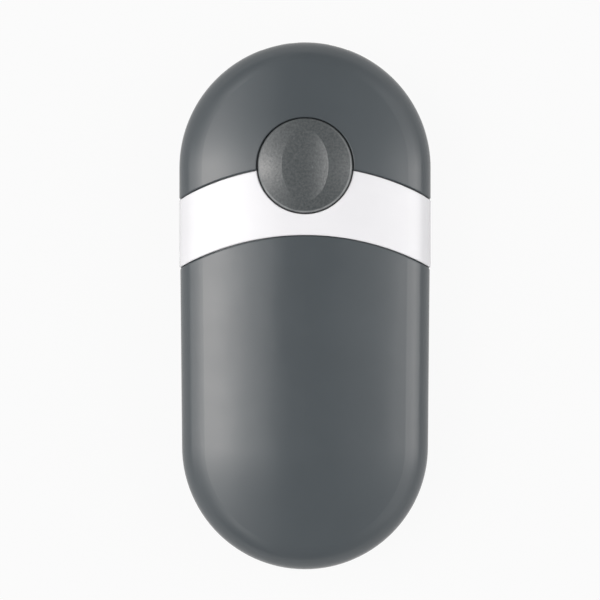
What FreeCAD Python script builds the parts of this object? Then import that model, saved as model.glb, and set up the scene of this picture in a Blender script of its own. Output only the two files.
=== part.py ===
import FreeCAD, Part
import math
import os

# Pocket self-inking stamp, closed, lying on its flat back with the crowned front face up.
# +X is to the right, +Y runs to the hinge end, +Z comes out of the front face. Sizes in millimetres.
# The origin is in the middle of the outline, on the plane that the back rests on.

# Case
length = 109.0
half_width = 26.0
toe_narrowing = 0.55
shell_top = 22.0
button_rise = 1.05
desk_gap = 0.05
side_height = 0.37
front_roll = 7.0
rear_roll = 5.5
rear_step = 0.1
wall = 1.6
parting_gap = 0.3
skin_slip = 0.15
edge_round = 0.25
corner_round = 0.8

# Seams between cap, band and lower shell
seam_radius = 54.0
cap_seam_drop = 0.0
band_height = 14.2
seam_gap = 0.2
lap_length = 1.5
lap_gap = 0.1

# Push button
button_setback = 26.0
button_radius = 9.65
button_slip = 0.2
button_travel = 2.0
dome_radius = 32.0
scoop_radius = 24.0
scoop_half = 4.75
button_edge = 0.65
flange_lip = 0.6
flange_thick = 1.0
button_wall = 1.4
leg_offset = 5.6
leg_thick = 2.0
leg_tip = 1.0
leg_length = 3.5

# Frame of the front half
front_deck = 1.3
deck_recess = 0.3
block_half = 14.2
ceiling = 0.8
collar_wall = 1.2

# Latch slide, keeper, springs and strike
keeper_thick = 1.0
keeper_half = 12.5
slide_gap = 0.1
slide_thick = 2.4
slide_half = 8.4
slide_reach = 15.5
slide_tail = 6.0
nose_half = 4.0
nose_length = 4.5
nose_chamfer = 1.4
hook_engagement = 1.2
strike_thick = 0.5
strike_half = 3.8
latch_spring_room = 7.1
latch_spring_radius = 1.0
latch_spring_wire = 0.45
latch_spring_turns = 5

# Text plate and its carrier
die_setback = 25.45
die_radius = 20.0
die_proud = 2.2
rubber_thick = 2.3
relief_height = 0.8
foam_thick = 1.5
mount_thick = 1.8
mount_lip = 0.6
well_slip = 0.3
well_wall = 1.2

# Ink pad and its cartridge
pad_lip = 0.9
pad_gap = 0.3
pad_thick = 4.2
tray_wall = 0.8
tab_half = 5.0
notch_half = 7.5

# Frame of the rear half
rear_deck = 1.4
well_floor = 1.0

# Hinge
hinge_setback = 5.3
hub_radius = 2.0
pin_radius = 0.8
pin_slip = 0.05
hinge_gap = 0.3
spring_pocket = 3.0
inner_knuckle = 2.0
arm_width = 3.3
outer_knuckle = 1.7
hinge_spring_radius = 1.5
hinge_spring_wire = 0.5
hinge_spring_turns = 3.5
hinge_spring_pitch = 1.0

# Screws
head_radius = 1.9
head_height = 1.0
shank_radius = 1.0
shank_length = 4.0
boss_wall = 1.4
cup_floor = 1.0
keeper_screw_radius = 0.8
cross_reach = 1.1
cross_half = 0.25
cross_depth = 0.6

# Places that follow from the sizes above
top_y = length / 2 - half_width
toe_radius = half_width - toe_narrowing
toe_y = toe_radius - length / 2
button_y = length / 2 - button_setback
die_y = die_setback - length / 2
parting = (shell_top + button_rise + desk_gap) / 2
front_rim = parting + parting_gap / 2
rear_rim = parting - parting_gap / 2
roll_foot = front_rim + side_height
crown_drop = shell_top - roll_foot
crown_reach = (half_width - front_roll) ** 2 + crown_drop ** 2 - front_roll ** 2
crown_radius = crown_reach / (2 * (crown_drop - front_roll))
crown_z = shell_top - crown_radius
front_deck_low = parting + deck_recess
front_deck_top = front_deck_low + front_deck
rear_deck_top = parting - deck_recess
rear_deck_low = rear_deck_top - rear_deck
hinge_y = length / 2 - hinge_setback
keeper_top = front_deck_low + keeper_thick
slide_low = keeper_top + slide_gap
slide_top = slide_low + slide_thick
channel_top = slide_top + 2 * slide_gap
block_top = channel_top + ceiling
slide_start = button_y - slide_reach
slide_end = button_y + slide_tail
spring_wall = slide_end + latch_spring_room
die_face = parting - die_proud
foam_low = die_face + rubber_thick
mount_low = foam_low + foam_thick
mount_top = mount_low + mount_thick
mount_radius = die_radius + mount_lip
die_well = mount_radius + well_slip
pad_radius = die_radius + pad_lip
tray_radius = pad_radius + tray_wall + 0.1
pad_well = tray_radius + well_slip
pad_top = die_face - pad_gap
pad_low = pad_top - pad_thick
tray_low = pad_low - tray_wall
well_low = tray_low - slide_gap - well_floor


def point(x, y, z):
    return FreeCAD.Vector(x, y, z)


def line(start, end):
    return Part.LineSegment(start, end).toShape()


def arc(start, middle, end):
    return Part.Arc(start, middle, end).toShape()


def box(left, right, near, far, low, high):
    return Part.makeBox(right - left, far - near, high - low, point(left, near, low))


def upright(radius, low, high, x, y):
    return Part.makeCylinder(radius, high - low, point(x, y, low))


def crosswise(radius, left, right, y, z):
    return Part.makeCylinder(radius, right - left, point(left, y, z), point(1, 0, 0))


def prism_across(corners, left, right):
    # a YZ outline pushed along X
    corners = [point(left, y, z) for y, z in corners]
    edges = [line(a, b) for a, b in zip(corners, corners[1:] + corners[:1])]
    return Part.Face(Part.Wire(edges)).extrude(point(right - left, 0, 0))


def merged(first, others):
    return first.fuse(others).removeSplitter()


def mirrored_pair(solid):
    return [solid, solid.mirror(point(0, 0, 0), point(1, 0, 0))]


# The case: one section, turned round at both ends and drawn along between them

def front_section(width, inset, low):
    # from the foot of the side, over the edge roll, to the middle of the crown
    side = width - inset
    roll_x = width - front_roll
    roll_z = crown_z + math.sqrt((crown_radius - front_roll) ** 2 - roll_x ** 2)
    lean = math.atan2(roll_z - crown_z, roll_x)
    roll = front_roll - inset
    crown = crown_radius - inset
    half_lean = (lean + math.pi / 2) / 2
    return [
        (side, low),
        (side, roll_z),
        (roll_x + roll * math.cos(lean / 2), roll_z + roll * math.sin(lean / 2)),
        (roll_x + roll * math.cos(lean), roll_z + roll * math.sin(lean)),
        (crown * math.cos(half_lean), crown_z + crown * math.sin(half_lean)),
        (0, crown_z + crown),
    ]


def rear_section(width, inset, high):
    # from the rim of the side, round the edge, to the middle of the flat back
    side = width - rear_step - inset
    roll_x = width - rear_step - rear_roll
    roll = rear_roll - inset
    slant = roll * math.sqrt(0.5)
    return [
        (side, high),
        (side, rear_roll),
        (roll_x + slant, rear_roll - slant),
        (roll_x, inset),
        (roll_x / 2, inset),
        (0, inset),
    ]


def half_edges(section, y, mirror):
    spots = [point(mirror * x, y, z) for x, z in section]
    edges = [line(spots[0], spots[1]), arc(spots[1], spots[2], spots[3])]
    flat = abs(section[3][1] - section[5][1]) < 1e-6
    edges.append(line(spots[3], spots[5]) if flat else arc(spots[3], spots[4], spots[5]))
    return edges


def full_wire(section, y):
    edges = half_edges(section, y, 1) + half_edges(section, y, -1)
    x, z = section[0]
    edges.append(line(point(-x, y, z), point(x, y, z)))
    return Part.Wire(Part.__sortEdges__(edges))


def half_face(section, y):
    edges = half_edges(section, y, 1)
    x, z = section[0]
    edges.append(line(point(0, y, section[5][1]), point(0, y, z)))
    edges.append(line(point(0, y, z), point(x, y, z)))
    return Part.Face(Part.Wire(Part.__sortEdges__(edges)))


def case_body(head_section, toe_section, middle):
    head = half_face(head_section, top_y).revolve(point(0, top_y, 0), point(0, 0, 1), 180)
    toe = half_face(toe_section, toe_y).revolve(point(0, toe_y, 0), point(0, 0, 1), -180)
    return merged(head, middle + [toe])


def drawn_middle(head_section, toe_section):
    # each half of the section moves straight from the head to the toe
    way = point(toe_section[0][0] - head_section[0][0], toe_y - top_y, 0)
    return mirrored_pair(half_face(head_section, top_y).extrude(way))


def band_body(inset, low=front_rim):
    section = front_section(half_width, inset, low)
    return case_body(section, section, drawn_middle(section, section))


def front_body(inset, low):
    head_section = front_section(half_width, inset, low)
    toe_section = front_section(toe_radius, inset, low)
    middle = Part.makeLoft([full_wire(toe_section, toe_y), full_wire(head_section, top_y)], True, True)
    return case_body(head_section, toe_section, [middle])


def rear_body(inset, high):
    head_section = rear_section(half_width, inset, high)
    toe_section = rear_section(toe_radius, inset, high)
    return case_body(head_section, toe_section, drawn_middle(head_section, toe_section))


def crown_under(reach):
    # height of the skin's inner face at this distance from the button's middle
    reach = reach + abs(button_y - top_y)
    return crown_z + math.sqrt((crown_radius - wall) ** 2 - reach ** 2)


def seam_y(drop, x):
    return button_y - drop - seam_radius + math.sqrt(seam_radius ** 2 - x ** 2)


def below_seam(drop, grow):
    return upright(seam_radius + grow, 0, shell_top + 1, 0, button_y - drop - seam_radius)


def button_hole():
    return upright(button_radius + button_slip, parting, shell_top + 1, 0, button_y)


def shell_outline():
    # plan of the lower shell below its seam, with round corners, a little wider than its sides
    middle_y = button_y - band_height - seam_radius
    seam = seam_radius - seam_gap / 2
    side = half_width - toe_narrowing * (top_y - seam_y(band_height, half_width)) / (top_y - toe_y) + 0.02
    x = side - corner_round
    y = middle_y + math.sqrt((seam - corner_round) ** 2 - x ** 2)
    lean = math.atan2(y - middle_y, x)
    spots = [
        (side, -length),
        (side, y),
        (x + corner_round * math.cos(lean / 2), y + corner_round * math.sin(lean / 2)),
        (seam * math.cos(lean), middle_y + seam * math.sin(lean)),
    ]
    right = [point(a, b, 0) for a, b in spots]
    left = [point(-a, b, 0) for a, b in spots]
    edges = [line(right[0], right[1]), arc(*right[1:]), arc(right[3], point(0, middle_y + seam, 0), left[3])]
    edges += [arc(*left[1:]), line(left[1], left[0]), line(left[0], right[0])]
    return Part.Face(Part.Wire(Part.__sortEdges__(edges))).extrude(point(0, 0, shell_top + 1))


def edges_on(solid, outside, cuts):
    # the edges that lie both on the outer face and on one of the cuts
    edges = []
    for edge in solid.Edges:
        middle = Part.Vertex(edge.valueAt((edge.FirstParameter + edge.LastParameter) / 2))
        if outside.distToShape(middle)[0] > 0.001:
            continue
        if min(cut.distToShape(middle)[0] for cut in cuts) < 0.001:
            edges.append(edge)
    return edges


def rounded(solid, outside, cuts):
    shells = [cut.Shells[0] for cut in cuts]
    return solid.makeFillet(edge_round, edges_on(solid, outside, shells))


def eased(body, outside, rim):
    # the body with the outer edge of its rim broken
    reach = length
    rim_plane = Part.makePlane(2 * reach, 2 * reach, point(-reach, -reach, rim))
    return body.makeChamfer(edge_round, edges_on(body, outside, [rim_plane]))


# Screws, and the bosses and cups that take them

def boss_radius():
    return shank_radius + boss_wall


def front_bosses(places):
    low = front_deck_low + head_height + cup_floor + 0.2
    inside = front_body(wall / 2, front_rim)
    bosses = [upright(boss_radius(), low, shell_top, x, y).common(inside) for x, y in places]
    holes = [upright(shank_radius, low, low + shank_length - cup_floor, x, y) for x, y in places]
    return bosses, holes


def rear_bosses(places):
    high = rear_deck_top - head_height - cup_floor - 0.2
    bosses = [upright(boss_radius(), wall / 2, high, x, y) for x, y in places]
    holes = [upright(shank_radius, high - shank_length + cup_floor, high, x, y) for x, y in places]
    return bosses, holes


def pan_screw(x, y, seat, direction):
    # head against its seat, shank along the direction
    head = Part.makeCylinder(head_radius, head_height, point(x, y, seat), point(0, 0, -direction))
    head = head.makeChamfer(0.3, [rim for rim in head.Edges if abs(rim.BoundBox.Center.z - seat) > 0.9])
    shank = Part.makeCylinder(shank_radius, shank_length, point(x, y, seat), point(0, 0, direction))
    return merged(head, [shank]).cut(cross_recess(x, y, seat - direction * head_height, direction))


def cross_recess(x, y, face, direction):
    # the driver's cross, narrower at its floor
    floor = face + direction * cross_depth
    wing = prism_across([
        (-cross_reach, face), (cross_reach, face), (cross_reach - 0.5, floor), (0.5 - cross_reach, floor),
    ], -cross_half, cross_half)
    wings = [wing, wing.rotated(point(0, 0, 0), point(0, 0, 1), 90)]
    return [shape.translated(point(x, y, 0)) for shape in wings]


def screw_cup(x, y, deck_face, direction):
    # the thicker ring round a screw, and the stepped hole through it
    depth = head_height + 0.1 + cup_floor
    axis = point(0, 0, direction)
    start = point(x, y, deck_face)
    ring = Part.makeCylinder(head_radius + 1.2, depth, start, axis)
    bore = Part.makeCylinder(head_radius + 0.2, head_height + 0.1, start, axis)
    hole = Part.makeCylinder(shank_radius + 0.15, depth, start, axis)
    return ring, bore.fuse(hole)


def cap_screw_places():
    x = half_width - wall - 6.9
    return [(x, top_y + 7.5), (-x, top_y + 7.5)]


def band_screw_places():
    x = half_width - wall - 4.4
    y = (seam_y(cap_seam_drop, x) + seam_y(band_height, x)) / 2
    return [(x, y), (-x, y)]


def shell_screw_places():
    x = half_width - wall - 6.4
    y = seam_y(band_height, x) - 12.0
    return [(x, y), (-x, y)]


def keeper_span():
    return slide_start - 3.8, spring_wall + 0.8


def keeper_screw_places():
    near, far = keeper_span()
    return [(x, y) for x in (-keeper_half + 1.8, keeper_half - 1.8) for y in (near + 2.0, far - 2.0)]


# Hinge: two arms of the rear frame between four knuckles of the front frame, on one pin

def knuckle_spans():
    inner = (spring_pocket, spring_pocket + inner_knuckle)
    start = inner[1] + 2 * hinge_gap + arm_width
    return [inner, (start, start + outer_knuckle)]


def arm_span():
    start = spring_pocket + inner_knuckle + hinge_gap
    return start, start + arm_width


def arm_clearance():
    # room that the rear arms and the spring's leg need in the end of the front half, opened flat
    high = 2 * parting - rear_deck_low + 0.2
    left, right = arm_span()
    cuts = [box(-spring_pocket, -spring_pocket / 2, hinge_y, length, 0, high)]
    for side in (-1, 1):
        spans = sorted((side * (left - hinge_gap), side * (right + hinge_gap)))
        cuts.append(box(spans[0], spans[1], hinge_y, length, 0, high))
        cuts.append(crosswise(hub_radius + hinge_gap, spans[0], spans[1], hinge_y, parting))
    return cuts


def trough_radius():
    crown_here = crown_z + math.sqrt(crown_radius ** 2 - (hinge_y - top_y) ** 2)
    return crown_here - parting + hinge_gap


def trough_half():
    return math.sqrt(half_width ** 2 - (hinge_y - top_y) ** 2) + hinge_gap


def make_hinge_pin():
    reach = knuckle_spans()[1][1] - 0.3
    return crosswise(pin_radius, -reach, reach, hinge_y, parting)


# Front half

def make_top_cap():
    outside = band_body(0, parting - 1).Shells[0]
    cuts = [below_seam(cap_seam_drop, seam_gap / 2), button_hole()]
    skin = eased(band_body(0), outside, front_rim).cut(band_body(wall))
    skin = rounded(skin.cut(cuts), outside, cuts)
    tongue = band_body(wall / 2 + lap_gap / 2).cut(band_body(wall))
    tongue = tongue.cut(below_seam(cap_seam_drop + lap_length, 0))
    bosses, holes = front_bosses(cap_screw_places())
    cap = merged(skin, [tongue.cut(button_hole())] + bosses)
    return cap.cut(holes + arm_clearance())


def make_white_band():
    outside = band_body(0, parting - 1).Shells[0]
    upper_seam = below_seam(cap_seam_drop, -seam_gap / 2)
    cuts = [below_seam(band_height, seam_gap / 2), button_hole()]
    skin = eased(band_body(0), outside, front_rim).cut(band_body(wall))
    skin = rounded(skin.common(upper_seam).cut(cuts), outside, [upper_seam] + cuts)
    rebate = band_body(wall / 2 - lap_gap / 2)
    upper = rebate.cut(below_seam(cap_seam_drop + lap_length + seam_gap, 0))
    lower = rebate.common(below_seam(band_height - lap_length - seam_gap, 0))
    skin = skin.cut([upper, lower])
    bosses, holes = front_bosses(band_screw_places())
    return merged(skin, bosses).cut(holes)


def make_front_shell():
    outside = front_body(0, parting - 1).Shells[0]
    outline = shell_outline()
    skin = eased(front_body(0, front_rim), outside, front_rim).cut(front_body(wall, front_rim))
    skin = rounded(skin.common(outline), outside, [outline])
    tongue = front_body(wall / 2 + lap_gap / 2, front_rim).cut(front_body(wall, front_rim))
    tongue = tongue.common(below_seam(band_height - lap_length, 0))
    bosses, holes = front_bosses(shell_screw_places())
    return merged(skin, [tongue] + bosses).cut(holes)


def make_front_frame():
    room = front_body(wall + skin_slip, front_deck_low)
    deck = room.common(box(-half_width, half_width, -length, length, front_deck_low, front_deck_top))
    well = upright(die_well + well_wall, front_deck_low, mount_top + 0.05 + well_wall, 0, die_y)
    near, far = keeper_span()
    block = box(-block_half, block_half, near - 1.2, far + 1.1, front_deck_top, block_top)
    collar = upright(button_radius + flange_lip + 0.2 + collar_wall, block_top, collar_height(), 0, button_y)
    hinge_block = box(-knuckle_spans()[1][1], knuckle_spans()[1][1], far, length, front_deck_low, channel_top)
    cups = [screw_cup(x, y, front_deck_low, 1)
            for x, y in cap_screw_places() + band_screw_places() + shell_screw_places()]
    solids = [well, block, collar, hinge_block] + [ring for ring, hole in cups]
    frame = deck.fuse([solid.common(room) for solid in solids])
    frame = frame.fuse(front_knuckles()).removeSplitter()
    cuts = [hole for ring, hole in cups]
    cuts.append(upright(die_well, 0, mount_top + 0.05, 0, die_y))
    cuts.append(box(-keeper_half - 0.2, keeper_half + 0.2, near - 0.2, far + 0.2, 0, front_deck_top))
    cuts.append(upright(button_radius + flange_lip + 0.2, parting, shell_top, 0, button_y))
    cuts.append(box(-slide_half - 0.2, slide_half + 0.2, slide_start - 1.0, spring_wall, parting, channel_top))
    cuts.append(strike_slot(block_top))
    for x, y in keeper_screw_places():
        cuts.append(upright(keeper_screw_radius, parting, channel_top, x, y))
    cuts.extend(arm_clearance())
    cuts.extend(spring_room())
    return frame.cut(cuts)


def collar_height():
    return crown_under(button_radius + flange_lip + 0.2 + collar_wall) - 0.3


def front_knuckles():
    # hubs that hang from the end block, kept inside the cap
    hubs = []
    inside = upright(half_width - wall - skin_slip, 0, shell_top, 0, top_y)
    for left, right in knuckle_spans():
        hub = crosswise(hub_radius, left, right, hinge_y, parting)
        hub = hub.cut(crosswise(pin_radius + pin_slip, left - 1, right + 1, hinge_y, parting))
        hubs.extend(mirrored_pair(hub.common(inside)))
    return hubs


def spring_room():
    # the torsion spring's pocket, the bore of the pin, and the ledge that the spring's leg lifts
    leg_top = parting + hinge_spring_radius + hinge_spring_wire / 2
    reach = knuckle_spans()[1][1]
    coil = hinge_spring_radius + hinge_spring_wire / 2 + hinge_gap
    return [
        crosswise(coil, -spring_pocket, spring_pocket, hinge_y, parting),
        box(-spring_pocket, spring_pocket, hinge_y - 5.0, hinge_y, 0, leg_top + 0.05),
        crosswise(pin_radius + pin_slip, -reach - 0.1, reach + 0.1, hinge_y, parting),
    ]


def strike_slot(high):
    near = slide_start - 2.1
    far = slide_start + hook_engagement + 1.2
    return box(-strike_half - 0.8, strike_half + 0.8, near, far, 0, high)


def make_latch_keeper():
    near, far = keeper_span()
    plate = box(-keeper_half, keeper_half, near, far, front_deck_low, keeper_top)
    uprights = [edge for edge in plate.Edges if edge.BoundBox.ZLength > keeper_thick / 2]
    plate = plate.makeFillet(1.5, uprights)
    cones = []
    for x, y in keeper_screw_places():
        wide = keeper_screw_radius + 0.9
        cones.append(Part.makeCone(wide, keeper_screw_radius, 0.9, point(x, y, front_deck_low)))
        cones.append(upright(keeper_screw_radius, front_deck_low, keeper_top, x, y))
    return plate.cut(cones + [strike_slot(keeper_top)])


def make_keeper_screws():
    screws = []
    for x, y in keeper_screw_places():
        wide = keeper_screw_radius + 0.9
        head = Part.makeCone(wide, keeper_screw_radius, 0.9, point(x, y, front_deck_low))
        shank = upright(keeper_screw_radius, front_deck_low + 0.9, channel_top - 0.4, x, y)
        screws.append(merged(head, [shank]).cut(cross_recess(x, y, front_deck_low, 1)))
    return Part.makeCompound(screws)


def make_front_screws(places):
    seat = front_deck_low + head_height + 0.1
    return Part.makeCompound([pan_screw(x, y, seat, 1) for x, y in places])


# Latch

def ramp_y(z):
    # 45 degree contact line between the button's legs and the slide
    return button_y - 2.0 + z - (slide_top - button_travel / 5)


def make_latch_slide():
    body = box(-slide_half, slide_half, slide_start + nose_length, slide_end, slide_low, slide_top)
    nose = prism_across([
        (slide_start, slide_low + nose_chamfer),
        (slide_start + nose_chamfer, slide_low),
        (slide_start + nose_length, slide_low),
        (slide_start + nose_length, slide_top),
        (slide_start, slide_top),
    ], -nose_half, nose_half)
    peg_radius = latch_spring_radius - latch_spring_wire / 2 - 0.15
    peg = Part.makeCylinder(peg_radius, 1.2, point(0, slide_end, spring_height()), point(0, 1, 0))
    slide = merged(body, [nose, peg])
    start = ramp_y(slide_top) - leg_length - button_travel
    window = prism_across([
        (start, slide_low - 0.1),
        (ramp_y(slide_low - 0.1) + 0.15, slide_low - 0.1),
        (ramp_y(slide_top + 0.1) + 0.15, slide_top + 0.1),
        (start, slide_top + 0.1),
    ], leg_offset - leg_thick / 2 - 0.3, leg_offset + leg_thick / 2 + 0.3)
    waist = box(-2.6, 2.6, slide_start + nose_length + 3.0, slide_end - 3.0, slide_low, slide_top)
    return slide.cut(mirrored_pair(window) + [waist])


def spring_height():
    return (slide_low + slide_top) / 2


def sagitta(radius, reach):
    return radius - math.sqrt(radius ** 2 - reach ** 2)


def make_release_button():
    # a dome with a round edge, and a scoop across it whose two ridges are the highest places
    apex = shell_top + button_rise + sagitta(dome_radius, scoop_half)
    scoop_floor = shell_top + button_rise - sagitta(scoop_radius, scoop_half)
    dome_z = apex - dome_radius
    edge_x = button_radius - button_edge
    edge_z = dome_z + math.sqrt((dome_radius - button_edge) ** 2 - edge_x ** 2)
    lean = math.atan2(edge_z - dome_z, edge_x)
    flange_radius = button_radius + flange_lip
    flange_top = crown_under(flange_radius) - 0.3
    flange_low = flange_top - flange_thick
    roof = scoop_floor - button_wall
    corners = [
        (0, roof), (button_radius - button_wall, roof), (button_radius - button_wall, flange_low),
        (flange_radius, flange_low), (flange_radius, flange_top), (button_radius, flange_top),
        (button_radius, edge_z),
        (edge_x + button_edge * math.cos(lean / 2), edge_z + button_edge * math.sin(lean / 2)),
        (dome_radius * math.cos(lean), dome_z + dome_radius * math.sin(lean)),
    ]
    spots = [point(x, button_y, z) for x, z in corners]
    middle_lean = (lean + math.pi / 2) / 2
    middle_z = dome_z + dome_radius * math.sin(middle_lean)
    dome_middle = point(dome_radius * math.cos(middle_lean), button_y, middle_z)
    edges = [line(a, b) for a, b in zip(spots[:6], spots[1:7])]
    edges += [arc(*spots[6:]), arc(spots[8], dome_middle, point(0, button_y, apex))]
    edges.append(line(point(0, button_y, apex), spots[0]))
    cup = Part.Face(Part.Wire(edges)).revolve(point(0, button_y, 0), point(0, 0, 1), 360)
    tip = slide_top - button_travel / 5
    start = ramp_y(tip) - leg_tip
    leg = prism_across([
        (start, tip),
        (start + leg_tip, tip),
        (start + leg_length, tip + leg_length - leg_tip),
        (start + leg_length, roof),
        (start, roof),
    ], leg_offset - leg_thick / 2, leg_offset + leg_thick / 2)
    button = merged(cup, mirrored_pair(leg))
    scoop_start = point(0, button_y - length / 2, scoop_floor + scoop_radius)
    scoop = Part.makeCylinder(scoop_radius, length, scoop_start, point(0, 1, 0))
    return button.cut(scoop)


# Text plate

def make_die_mount():
    disc = upright(mount_radius, mount_low, mount_top, 0, die_y)
    return disc.makeChamfer(0.4, [edge for edge in disc.Edges if edge.BoundBox.ZMin > mount_top - 0.1])


def make_die_foam():
    return upright(die_radius, foam_low, mount_low, 0, die_y)


def make_text_plate():
    backing = upright(die_radius, die_face + relief_height, foam_low, 0, die_y)
    raised = []
    for outer, inner in ((die_radius - 0.6, die_radius - 1.4), (die_radius - 7.4, die_radius - 8.0)):
        ring = upright(outer, die_face, die_face + relief_height, 0, die_y)
        raised.append(ring.cut(upright(inner, die_face, die_face + relief_height, 0, die_y)))
    for offset, reach in ((-4.0, 8.0), (0.0, 9.5), (4.0, 8.0)):
        raised.append(box(-reach, reach, die_y + offset - 0.9, die_y + offset + 0.9,
                          die_face, die_face + relief_height))
    return merged(backing, raised)


# Rear half

def make_rear_shell():
    outside = rear_body(0, parting + 1).Shells[0]
    skin = eased(rear_body(0, rear_rim), outside, rear_rim).cut(rear_body(wall, rear_rim))
    radius = trough_radius()
    half = trough_half()
    outer = crosswise(radius + 1.3, -half - 1.3, half + 1.3, hinge_y, parting)
    end_wall = box(-half, half, hinge_y - 1.6, hinge_y, wall / 2, parting)
    ledge = box(-1.8, 1.8, hinge_y - radius - 0.5, hinge_y - 5.7, parting - 3.1, leg_seat())
    low = box(-half_width, half_width, 0, length, 0, rear_deck_low - 0.05)
    inside = rear_body(wall / 2, rear_rim).common(low)
    trough = outer.fuse(end_wall).common(inside)
    bosses, holes = rear_bosses(rear_screw_places())
    shell = merged(skin, [trough] + bosses)
    shell = shell.cut([crosswise(radius, -half, half, hinge_y, parting),
                       box(-half_width, half_width, hinge_y - 0.15, length, -1, parting)] + holes)
    return merged(shell, [ledge])


def leg_seat():
    return parting - hinge_spring_radius - hinge_spring_wire / 2 - 0.05


def rear_screw_places():
    return cap_screw_places() + shell_screw_places()


def strike_seat():
    return rear_deck_top - 1.1 - strike_thick


def make_rear_frame():
    room = rear_body(wall + skin_slip, rear_deck_top)
    deck = room.common(box(-half_width, half_width, -length, length, rear_deck_low, rear_deck_top))
    well = upright(pad_well + well_wall, well_low, rear_deck_top, 0, die_y)
    left, right = strike_foot_span()
    seat = box(-6.5, 6.5, left - 1.6, right + 2.6, strike_seat() - 1.8, rear_deck_top)
    seat = seat.fuse(upright(boss_radius(), strike_seat() - 4.6, strike_seat(), 0, strike_screw_y()))
    cups = [screw_cup(x, y, rear_deck_top, -1) for x, y in rear_screw_places()]
    frame = deck.fuse([solid.common(room) for solid in [well, seat] + [ring for ring, hole in cups]])
    frame = frame.cut(crosswise(trough_radius(), -trough_half(), trough_half(), hinge_y, parting))
    frame = merged(frame, rear_arms())
    cuts = [hole for ring, hole in cups]
    cuts.append(upright(pad_well, tray_low - slide_gap, parting, 0, die_y))
    cuts.append(box(-notch_half, notch_half, die_y + pad_well - 3.0, die_y + pad_well + 4.4,
                    pad_top - 2.0, parting))
    cuts.append(box(-strike_half - 1.2, strike_half + 1.2, left - 0.3, right + 1.3, strike_seat(), parting))
    cuts.append(upright(shank_radius, strike_seat() - 4.3, strike_seat(), 0, strike_screw_y()))
    cuts.append(crosswise(pin_radius, -half_width, half_width, hinge_y, parting))
    return frame.cut(cuts)


def rear_arms():
    left, right = arm_span()
    arm = box(left, right, hinge_y - trough_radius() - 1.0, hinge_y, rear_deck_low, rear_deck_top)
    hub = crosswise(hub_radius, left, right, hinge_y, parting)
    return mirrored_pair(arm.fuse(hub))


def make_rear_frame_screws():
    seat = rear_deck_top - head_height - 0.1
    return Part.makeCompound([pan_screw(x, y, seat, -1) for x, y in rear_screw_places()])


def make_ink_pad_tray():
    tray = upright(tray_radius, tray_low, pad_top - 0.3, 0, die_y)
    edge_y = die_y + tray_radius
    tab = box(-tab_half, tab_half, edge_y - 1.5, edge_y + 2.8, pad_top - 1.5, pad_top - 0.3)
    near = edge_y + 0.6
    grips = [box(1 - tab_half, tab_half - 1, near + step, near + step + 0.4, pad_top - 0.3, pad_top - 0.1)
             for step in (0, 0.8, 1.6)]
    tray = merged(tray, [tab] + grips)
    return tray.cut(upright(pad_radius + 0.1, pad_low, parting, 0, die_y))


def make_ink_pad():
    pad = upright(pad_radius, pad_low, pad_top, 0, die_y)
    return pad.makeChamfer(0.4, [edge for edge in pad.Edges if edge.BoundBox.ZMin > pad_top - 0.1])


def strike_foot_span():
    # the leaf's foot, from its free end to the riser
    riser = slide_start - 0.5
    return riser - 9.9, riser


def strike_screw_y():
    return strike_foot_span()[0] + 3.4


def make_strike_spring():
    near, riser = strike_foot_span()
    low = strike_seat()
    high = slide_top + 0.2 + strike_thick
    tip = slide_start + hook_engagement
    leaf = prism_across([
        (near, low), (riser, low), (riser, high - strike_thick), (tip, high - strike_thick), (tip, high),
        (riser - strike_thick, high), (riser - strike_thick, low + strike_thick), (near, low + strike_thick),
    ], -strike_half, strike_half)
    leaf = leaf.makeFillet(0.8, [across_edge(leaf, riser, low), across_edge(leaf, riser - strike_thick, high)])
    leaf = leaf.makeFillet(0.3, [across_edge(leaf, riser - strike_thick, low + strike_thick)])
    return leaf.cut(upright(shank_radius + 0.15, low, low + strike_thick, 0, strike_screw_y()))


def across_edge(solid, y, z):
    # the edge along X at this place
    for edge in solid.Edges:
        centre = edge.BoundBox.Center
        if edge.BoundBox.XLength > 1 and abs(centre.y - y) < 0.05 and abs(centre.z - z) < 0.05:
            return edge


def make_strike_screw():
    return pan_screw(0, strike_screw_y(), strike_seat() + strike_thick, -1)


# Springs

def helix_spot(centre, axis, across, radius, pitch, angle):
    # place and direction on a helix about the axis, starting at the across direction
    side = axis.cross(across)
    spot = centre + axis * (pitch * angle / (2 * math.pi))
    spot = spot + across * (radius * math.cos(angle)) + side * (radius * math.sin(angle))
    along = axis * (pitch / (2 * math.pi)) - across * (radius * math.sin(angle)) + side * (radius * math.cos(angle))
    return spot, along.normalize()


def biarc(start, start_way, end, end_way):
    # two arcs that meet smoothly between two places with set directions
    span = end - start
    ways = start_way + end_way
    rise = span.dot(ways)
    spread = 4 - ways.dot(ways)
    reach = (-rise + math.sqrt(rise ** 2 + spread * span.dot(span))) / spread
    first_corner = start + start_way * reach
    second_corner = end - end_way * reach
    joint = (first_corner + second_corner) * 0.5
    edges = []
    for a, corner, b in ((start, first_corner, joint), (joint, second_corner, end)):
        weight = a.distanceToPoint(b) / (2 * reach)
        middle = (a + corner * (2 * weight) + b) * (1 / (2 * (1 + weight)))
        edges.append(arc(a, middle, b))
    return edges


def coil_edges(centre, axis, across, radius, pitch, turns):
    edges = []
    halves = int(round(turns * 2))
    for half in range(halves):
        start, start_way = helix_spot(centre, axis, across, radius, pitch, half * math.pi)
        end, end_way = helix_spot(centre, axis, across, radius, pitch, (half + 1) * math.pi)
        edges.extend(biarc(start, start_way, end, end_way))
    return edges


def tube_along(edges, start, way, wire):
    ring = Part.Wire([Part.makeCircle(wire / 2, start, way)])
    return Part.Wire(edges).makePipeShell([ring], True, False)


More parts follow.
